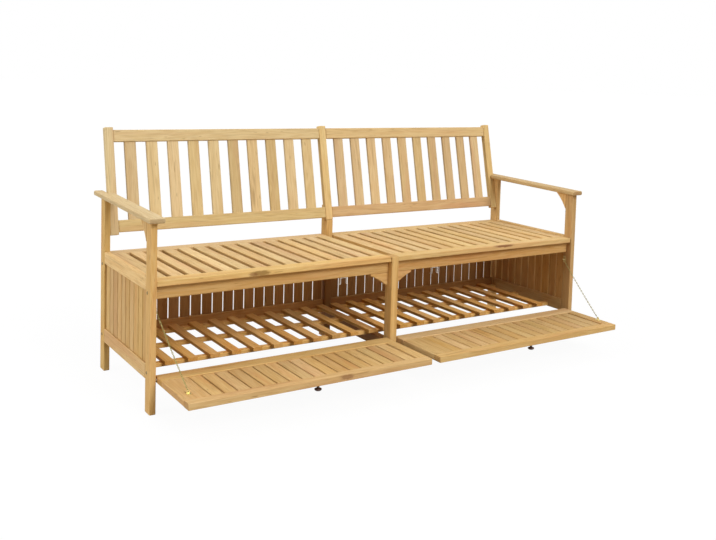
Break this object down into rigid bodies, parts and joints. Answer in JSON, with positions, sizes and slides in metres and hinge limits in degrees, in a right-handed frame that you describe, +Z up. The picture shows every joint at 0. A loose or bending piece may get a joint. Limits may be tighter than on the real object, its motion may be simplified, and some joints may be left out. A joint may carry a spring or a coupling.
{
  "type": "garden storage bench",
  "caption": "Long slatted wooden bench with arms and a raked back, over a storage box closed by drop-down doors held level by stays.",
  "frame": {"origin": "on the floor, in the middle of the centre front foot", "axes": "+X along the bench to the sitter's left, which is the right in a front view; +Y to the back; +Z up"},
  "size_m": [1.784, 0.8385, 0.8379],
  "materials": {
    "acacia": "oiled, satin",
    "dark_wood": "stained dark, satin",
    "zinc_steel": "zinc plated",
    "brass": "brass plated"
  },
  "bodies": {
    "bench": {"post_front_left": "acacia", "post_front_right": "acacia", "post_rear_left": "acacia", "post_rear_right": "acacia", "post_front_centre": "acacia", "post_rear_centre": "acacia", "armrest_left": "acacia", "armrest_right": "acacia", "arm_bracket_left": "acacia", "arm_bracket_right": "acacia", "seat_front_rail_left": "acacia", "seat_front_rail_right": "acacia", "seat_slats_left": "acacia", "seat_slats_right": "acacia", "apron_left": "acacia", "apron_right": "acacia", "apron_bracket_left": "acacia", "apron_bracket_right": "acacia", "end_upper_rail_left": "acacia", "end_upper_rail_right": "acacia", "end_boards_left": "acacia", "end_boards_right": "acacia", "rear_upper_rail_left": "acacia", "rear_upper_rail_right": "acacia", "rear_boards_left": "acacia", "rear_boards_right": "acacia", "centre_seat_rail": "acacia", "centre_floor_rail": "acacia", "floor_left": "acacia", "floor_right": "acacia", "back_stile_left": "acacia", "back_stile_right": "acacia", "back_stile_centre": "acacia", "back_top_rail_left": "acacia", "back_top_rail_right": "acacia", "back_slats_left": "acacia", "back_slats_right": "acacia", "pivot_pin_centre": "zinc_steel", "stay_post_plate_left": "brass", "stay_post_plate_right": "brass", "stay_left": "brass", "stay_right": "brass", "door_catch_left": "zinc_steel", "door_catch_right": "zinc_steel"},
    "left_door": {"door_boards_left": "acacia", "door_free_rail_left": "acacia", "door_inner_stile_left": "acacia", "door_outer_stile_left": "acacia", "knob_left": "dark_wood", "pivot_pin_left": "zinc_steel", "stay_door_plate_left": "brass"},
    "right_door": {"door_boards_right": "acacia", "door_free_rail_right": "acacia", "door_inner_stile_right": "acacia", "door_outer_stile_right": "acacia", "knob_right": "dark_wood", "pivot_pin_right": "zinc_steel", "stay_door_plate_right": "brass"}
  },
  "joints": [
    {"name": "left_door_hinge", "type": "hinge", "parent": "bench", "child": "left_door", "pos_m": [-0.437, -0.0132, 0.1071], "axis": [-1, 0, 0], "range_deg": [0, 90], "deforming": ["stay_left"]},
    {"name": "right_door_hinge", "type": "hinge", "parent": "bench", "child": "right_door", "pos_m": [0.437, -0.0132, 0.1071], "axis": [-1, 0, 0], "range_deg": [0, 90], "deforming": ["stay_right"]}
  ]
}
